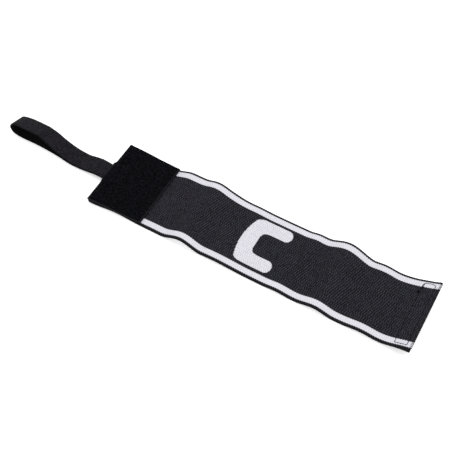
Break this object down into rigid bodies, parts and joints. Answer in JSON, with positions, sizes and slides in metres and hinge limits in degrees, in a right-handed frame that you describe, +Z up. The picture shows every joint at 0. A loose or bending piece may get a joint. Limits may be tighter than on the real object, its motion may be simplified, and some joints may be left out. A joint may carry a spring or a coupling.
{
  "type": "captain armband",
  "caption": "Wide striped elastic armband with a woven C, a soft loop patch at one end, a hook strip under the other and a narrow folded strap loop.",
  "frame": {"origin": "middle of the whole part's foot, on the surface that the armband lies on", "axes": "+X along the band towards the hook end, +Y towards the band's back edge, +Z up off the surface"},
  "size_m": [0.3918, 0.0668, 0.0159],
  "materials": {
    "band": "ribbed woven elastic, near black with two white stripes and a white woven C",
    "loop_patch": "brushed loop pile, black, matt",
    "hook_strip": "moulded hook tape, black",
    "strap_loop": "narrow woven elastic, near black, matt"
  },
  "bodies": {
    "root": {"band": "band", "loop_patch": "loop_patch", "hook_strip": "hook_strip", "strap_loop": "strap_loop"}
  },
  "joints": []
}
